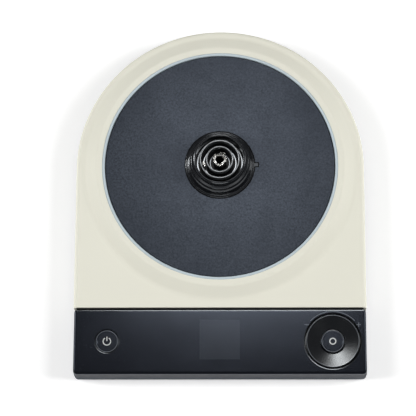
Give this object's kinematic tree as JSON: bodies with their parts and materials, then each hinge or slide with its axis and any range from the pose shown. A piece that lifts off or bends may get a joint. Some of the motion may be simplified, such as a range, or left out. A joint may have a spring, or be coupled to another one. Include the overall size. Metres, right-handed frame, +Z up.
{
  "type": "kettle power base",
  "caption": "Round-backed countertop power base with a raised round plate, a central ring connector, a gloss control fascia, a display window, a turning dial and push buttons.",
  "frame": {"origin": "on the table, under the middle of the base's outline", "axes": "+Z up, +Y from the controls towards the round back, +X to the user's right"},
  "size_m": [0.1836, 0.2258, 0.0389],
  "materials": {
    "housing_cream": "satin moulded ABS",
    "housing_dark": "fine-textured moulded plastic",
    "plate": "soft matt, fine grain",
    "trim": "frosted light guide",
    "fascia_gloss": "high gloss",
    "display_glass": "dead-front tinted window",
    "dial_gloss": "high gloss",
    "button_gloss": "gloss",
    "symbol_white": "translucent white",
    "connector_black": "semi-gloss",
    "contact_metal": "silver-plated",
    "silicone": "translucent grey",
    "rubber_foot": "matt",
    "board_green": "solder-mask",
    "chip_black": "matt epoxy",
    "relay_blue": "moulded case",
    "transformer_yellow": "tape-wound ferrite",
    "screw_steel": "zinc-plated",
    "lead_red": "silicone insulation",
    "lead_blue": "silicone insulation",
    "lead_green": "silicone insulation",
    "lead_white": "silicone insulation",
    "module_grey": "matt frame",
    "terminal_grey": "nylon",
    "magnet_grey": "bonded ferrite",
    "guide_white": "acetal"
  },
  "bodies": {
    "base": {"upper_housing": "housing_cream", "lower_housing": "housing_dark", "kettle_plate": "plate", "plate_trim_ring": "trim", "ring_light_board": "board_green", "control_fascia": "fascia_gloss", "display_lens": "display_glass", "display_module": "module_grey", "power_button_dome": "silicone", "power_switch": "chip_black", "dial_guide": "guide_white", "start_button_dome": "silicone", "start_switch": "chip_black", "dial_hall_sensors": "chip_black", "control_board": "board_green", "control_chip": "chip_black", "buzzer": "chip_black", "connector_body": "connector_black", "connector_seal": "silicone", "centre_contact": "contact_metal", "neutral_contact": "contact_metal", "earth_contact": "contact_metal", "signal_contacts": "contact_metal", "connector_cover": "guide_white", "power_board": "board_green", "relay": "relay_blue", "transformer": "transformer_yellow", "filter_capacitor": "relay_blue", "surge_filter": "terminal_grey", "mains_fuse": "terminal_grey", "terminal_block": "terminal_grey", "lead_neutral": "lead_blue", "lead_live": "lead_red", "lead_earth": "lead_green", "lead_signal": "lead_white", "control_ribbon": "lead_white", "cord_gland": "rubber_foot", "cord_clamp": "guide_white", "foot_front_left": "rubber_foot", "foot_front_right": "rubber_foot", "foot_rear_left": "rubber_foot", "foot_rear_right": "rubber_foot", "housing_screws": "screw_steel", "fascia_screws": "screw_steel", "control_board_screws": "screw_steel", "power_board_screws": "screw_steel", "connector_screws": "screw_steel", "cord_clamp_screws": "screw_steel"},
    "power_button": {"power_button": "button_gloss", "power_symbol": "symbol_white"},
    "dial": {"dial": "dial_gloss", "dial_magnet_ring": "magnet_grey"},
    "start_button": {"start_button": "button_gloss", "start_symbol": "symbol_white"}
  },
  "joints": [
    {"name": "power_button_press", "type": "slide", "parent": "base", "child": "power_button", "axis": [0, 0, -1], "range_m": [0, 0.0008], "stiffness_N_per_m": 1500, "springref_m": -0.0006, "deforming": ["power_button_dome"]},
    {"name": "start_button_press", "type": "slide", "parent": "base", "child": "start_button", "axis": [0, 0, -1], "range_m": [0, 0.0008], "stiffness_N_per_m": 1500, "springref_m": -0.0006, "deforming": ["start_button_dome"]},
    {"name": "dial_turn", "type": "hinge", "parent": "base", "child": "dial", "pos_m": [0.07025, -0.09198, 0.02], "axis": [0, 0, 1], "continuous": true}
  ]
}
